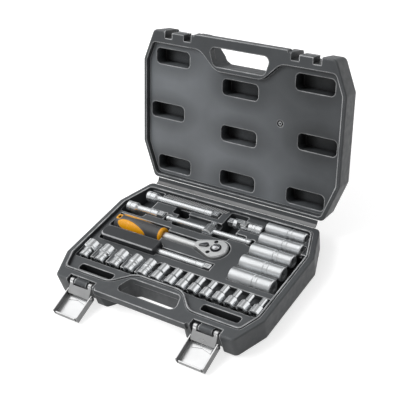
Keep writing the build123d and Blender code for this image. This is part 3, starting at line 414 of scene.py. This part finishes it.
METALS = {
    "chrome_y": dict(color=CHROME, rough=(0.12, 0.2), stretch=AROUND_Y, metallic=0.94),
    "chrome_plate": dict(color=CHROME, rough=(0.22, 0.27), stretch=AROUND_X, depth=0.006, metallic=0.9),
    "chrome_satin_x": dict(color=CHROME, rough=(0.33, 0.39), stretch=AROUND_X, depth=0.006, metallic=0.86),
    "satin_chrome": dict(color=(0.78, 0.79, 0.79), rough=(0.34, 0.46), depth=0.06, metallic=0.7),
    "ball_steel": dict(color=(0.72, 0.73, 0.75), rough=(0.1, 0.18)),
    "screw_steel": dict(color=(0.06, 0.06, 0.065), rough=(0.25, 0.4)),
    "latch_steel": dict(
        color=(0.8, 0.805, 0.81), rough=(0.26, 0.38), stretch=BRUSHED, line_scale=BRUSHED_SCALE, depth=0.05
    ),
    # A brighter copy of the latch steel with painted light by facing: a painted highlight on the lever's
    # floor.
    "lever_steel": dict(
        color=(0.93, 0.935, 0.94), rough=(0.26, 0.38), stretch=BRUSHED, line_scale=BRUSHED_SCALE, depth=0.05,
        face=LEVER_FACE
    ),
}

materials = {name: moulded_plastic(name, **look) for name, look in PLASTICS.items()}
materials.update({name: plated_metal(name, **look) for name, look in METALS.items()})


def material_name(node, slot):
    """Material of a node: its slot's, but for the pieces that need their own."""
    if node == "lid_liner":
        return "liner_plastic"
    if node == "ratchet_gear":
        return "screw_steel"
    if node.startswith("deep_socket_"):
        return "chrome_satin_x"
    if node.endswith("_latch_lever"):
        return "lever_steel"
    if node.startswith("socket_") or node == "tee_head":
        return "chrome_y"
    return slot


for entry in frame["record"]["subparts"]:
    node = nodes[entry["node"]]
    node.data.materials.clear()
    node.data.materials.append(materials[material_name(entry["node"], entry["material_slot"])])


# Pieces

def finished_mesh(form, name):
    """A mesh from a form, with its faces turned outwards."""
    mesh = bpy.data.meshes.new(name)
    bmesh.ops.recalc_face_normals(form, faces=form.faces)
    form.to_mesh(mesh)
    form.free()
    return mesh


def add_piece(name, mesh, body, material):
    """Links a finished mesh as a piece, which rides on a body if one is named."""
    piece = bpy.data.objects.new(name, mesh)
    bpy.context.scene.collection.objects.link(piece)
    mesh.materials.append(material)
    if body:
        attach(piece, body)
    return piece


WEB_ROWS = 14
WEB_COLUMNS = 26
WEB_HALF_LENGTH = 0.104
WEB_THICKNESS = 0.0008
WEB_THINNING = 0.22
WEB_FOLD_SHARE = 0.12


def web_section(t, start, middle, end):
    """The web at a share of its width: a point on its curve, and the step from there to its surface."""
    point = (1 - t) ** 2 * start + 2 * t * (1 - t) * middle + t * t * end
    run = (2 * (1 - t) * (middle - start) + 2 * t * (end - middle)).normalized()
    half_thickness = WEB_THICKNESS * (0.5 - WEB_THINNING * math.exp(-(((t - 0.5) / WEB_FOLD_SHARE) ** 2)))
    return point, half_thickness * Vector((0, -run.z, run.y))


def web_line(form, place):
    """A line of points along the hinge."""
    steps = [2 * j / WEB_COLUMNS - 1 for j in range(WEB_COLUMNS + 1)]
    return [form.verts.new((WEB_HALF_LENGTH * step, place.y, place.z)) for step in steps]


def web_faces(form, rows):
    """Closes the web's sides, short ends and long edges. The lid's half has the second material."""
    for i in range(WEB_ROWS):
        for here, there in zip(rows[i], rows[i + 1]):
            for j in range(WEB_COLUMNS):
                face = form.faces.new((here[j], here[j + 1], there[j + 1], there[j]))
                face.material_index = int(2 * i >= WEB_ROWS)
        for j in (0, WEB_COLUMNS):
            form.faces.new((rows[i][0][j], rows[i + 1][0][j], rows[i + 1][1][j], rows[i][1][j]))
    for upper, lower in (rows[0], rows[-1]):
        for j in range(WEB_COLUMNS):
            form.faces.new((upper[j], upper[j + 1], lower[j + 1], lower[j]))


def hinge_web():
    """The bending web between base and lid, one strip with a rounded fold."""
    start = Vector((0, 0.0851, 0.02545))
    middle = Vector((0, 0.0899, 0.0256))
    end = FOLD + 0.00455 * LID_REACH + 0.00055 * LID_OUT
    form = bmesh.new()
    rows = []
    for i in range(WEB_ROWS + 1):
        point, step = web_section(i / WEB_ROWS, start, middle, end)
        rows.append((web_line(form, point + step), web_line(form, point - step)))
    web_faces(form, rows)
    mesh = finished_mesh(form, "hinge_web")
    # The web's base half is painted lit and its lid half painted shaded.
    piece = add_piece("hinge_web", mesh, None, materials["web_plastic"])
    mesh.materials.append(materials["fold_plastic"])
    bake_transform(piece)
    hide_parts("hinge_base_flap", "hinge_lid_flap")


STRIP_LEFT = -0.081
STRIP_RIGHT = 0.004
STRIP_FRONT = 0.0713
STRIP_BACK = 0.0755
RIB_PITCH = 0.0029
RIB_SLANT = 0.0022
RIB_RISE = 0.0007
# Height above the tray and half width of a rib, from its root to its crest
RIB_LEVELS = [(-0.0003, 0.00095), (0.6 * RIB_RISE, 0.0007), (RIB_RISE, 0.00035)]


def rib_ring(form, x, level, half):
    """The four corners of a slanting rib at one level."""
    front_x = x - RIB_SLANT / 2
    back_x = x + RIB_SLANT / 2
    corners = [
        (front_x - half, STRIP_FRONT, level),
        (front_x + half, STRIP_FRONT, level),
        (back_x + half, STRIP_BACK, level),
        (back_x - half, STRIP_BACK, level),
    ]
    return [form.verts.new(corner) for corner in corners]


def add_rib(form, x):
    """One slanting rib with a narrower crest."""
    rings = [rib_ring(form, x, TRAY_TOP + height, half) for height, half in RIB_LEVELS]
    for low, high in zip(rings, rings[1:]):
        for k in range(4):
            after = (k + 1) % 4
            form.faces.new((low[k], low[after], high[after], high[k]))
    form.faces.new(rings[-1])
    form.faces.new(reversed(rings[0]))


def hatched_strip():
    """Slanting anti-slip ribs on the tray, behind the long extension."""
    form = bmesh.new()
    for i in range(int((STRIP_RIGHT - STRIP_LEFT) / RIB_PITCH)):
        add_rib(form, STRIP_LEFT + (i + 0.5) * RIB_PITCH)
    mesh = finished_mesh(form, "hatched_strip")
    add_piece("hatched_strip", mesh, "base", materials["rib_plastic"])


hinge_web()
hatched_strip()


# Stage, light and camera

FLOOR_HALF = 6.0
FLOOR_HEIGHT = -0.0002
FLOOR_COLOR = (0.5, 0.5, 0.5, 1)
FLOOR_ROUGH = 0.9
FLOOR_GLOW = 0.7
WHITE = (1, 1, 1, 1)
UPWARDS = (0, 0, 1)
RIGHTWARDS = (1, -0.1, 0)
SKY_RAMP = (0.14, 0.82, -0.05, 0.85)
SIDE_RAMP = (1.0, 0.25, -0.1, 0.6)
MIRRORED_RAMP = (0.50, 0.34, 0.0, 0.5)
# Direction, strength, and where each soft box starts and is full
SOFT_BOXES = [
    ((-0.55, -0.05, 0.83), 1.15, 0.70, 0.90),
    ((0.72, 0.55, 0.42), 1.1, 0.74, 0.92),
]
# Name, place, size and power of each lamp
LAMPS = [
    ("key", (-0.6, -0.45, 1.05), 0.7, 11.0),
    ("fill", (0.9, -0.5, 0.7), 0.8, 0.6),
    ("back", (-0.45, 0.7, 1.0), 0.9, 5.0),
]
LAMP_AIM = Vector((0, 0.03, 0.05))
CAMERA_PLACE = Vector((0.5285, -0.5425, 0.6581))
CAMERA_AZIMUTH = math.radians(42.36)
CAMERA_ELEVATION = math.radians(36.97)
CAMERA_ROLL = math.radians(-12.88)
CAMERA_LENS = 85.5
CAMERA_SENSOR = 36.0


def between(tree, factor, first, second):
    """A value that goes from the first to the second, a number or a socket, with the factor."""
    node = tree.nodes.new("ShaderNodeMix")
    node.data_type = "FLOAT"
    tree.links.new(factor, node.inputs["Factor"])
    tree.links.new(first, node.inputs["A"])
    if isinstance(second, float):
        node.inputs["B"].default_value = second
    else:
        tree.links.new(second, node.inputs["B"])
    return node.outputs["Result"]


def floor_material():
    """Pale, and glowing towards the camera and in reflections, so that it shows as white."""
    material, tree, shader = new_material("floor")
    shader.inputs["Base Color"].default_value = FLOOR_COLOR
    shader.inputs["Roughness"].default_value = FLOOR_ROUGH
    light_path = tree.nodes.new("ShaderNodeLightPath")
    seen = largest(tree, light_path.outputs["Is Camera Ray"], light_path.outputs["Is Glossy Ray"])
    shader.inputs["Emission Color"].default_value = WHITE
    tree.links.new(spread(tree, seen, 0.0, FLOOR_GLOW, 0.0, 1.0), shader.inputs["Emission Strength"])
    return material


def pale_floor():
    """Wide pale floor that shows as white to the camera but keeps the shadow."""
    mesh = bpy.data.meshes.new("floor")
    signs = ((-1, -1), (1, -1), (1, 1), (-1, 1))
    mesh.from_pydata([(x * FLOOR_HALF, y * FLOOR_HALF, FLOOR_HEIGHT) for x, y in signs], [], [(0, 1, 2, 3)])
    floor = bpy.data.objects.new("floor", mesh)
    bpy.context.scene.collection.objects.link(floor)
    mesh.materials.append(floor_material())


def studio_world():
    """White surroundings for the camera, soft and graded for light, with two soft boxes for reflections."""
    world = bpy.data.worlds.new("studio")
    bpy.context.scene.world = world
    world.use_nodes = True
    tree = world.node_tree
    background = tree.nodes["Background"]
    light_path = tree.nodes.new("ShaderNodeLightPath")
    direction = tree.nodes.new("ShaderNodeTexCoord").outputs["Generated"]
    upwards = towards(tree, direction, UPWARDS)
    side = spread(tree, towards(tree, direction, RIGHTWARDS), *SIDE_RAMP)
    ambient = product(tree, spread(tree, upwards, *SKY_RAMP), side)
    mirrored = spread(tree, upwards, *MIRRORED_RAMP)
    for centre, strength, outer, inner in SOFT_BOXES:
        box = spread(tree, towards(tree, direction, centre), 0.0, strength, outer, inner)
        mirrored = largest(tree, mirrored, box)
    level = between(tree, light_path.outputs["Is Glossy Ray"], ambient, mirrored)
    level = between(tree, light_path.outputs["Is Camera Ray"], level, 1.0)
    background.inputs["Color"].default_value = WHITE
    tree.links.new(level, background.inputs["Strength"])


def soft_lamp(name, place, size, power):
    """A square soft lamp that looks at the middle of the case."""
    lamp = bpy.data.lights.new(name, "AREA")
    lamp.size = size
    lamp.energy = power
    holder = bpy.data.objects.new(name, lamp)
    holder.visible_glossy = False
    holder.location = place
    aim = LAMP_AIM - Vector(place)
    holder.rotation_euler = aim.to_track_quat("-Z", "Y").to_euler()
    bpy.context.scene.collection.objects.link(holder)


def photo_turn():
    """The camera's turn from its azimuth, elevation and roll."""
    level = Vector((math.cos(CAMERA_AZIMUTH), math.sin(CAMERA_AZIMUTH), 0))
    outwards = Vector((math.sin(CAMERA_AZIMUTH), -math.cos(CAMERA_AZIMUTH), 0))
    back = math.cos(CAMERA_ELEVATION) * outwards + Vector((0, 0, math.sin(CAMERA_ELEVATION)))
    upright = back.cross(level)
    right = math.cos(CAMERA_ROLL) * level + math.sin(CAMERA_ROLL) * upright
    up = -math.sin(CAMERA_ROLL) * level + math.cos(CAMERA_ROLL) * upright
    return Matrix((right, up, back)).transposed().to_4x4()


def photo_camera():
    """Camera at the photograph's angle, roll and framing."""
    data = bpy.data.cameras.new("photo_camera")
    data.sensor_width = CAMERA_SENSOR
    data.lens = CAMERA_LENS
    camera = bpy.data.objects.new("photo_camera", data)
    camera.matrix_world = Matrix.Translation(CAMERA_PLACE) @ photo_turn()
    bpy.context.scene.collection.objects.link(camera)
    bpy.context.scene.camera = camera


pale_floor()
studio_world()
for lamp_values in LAMPS:
    soft_lamp(*lamp_values)
photo_camera()
bpy.context.scene.view_settings.view_transform = "Standard"
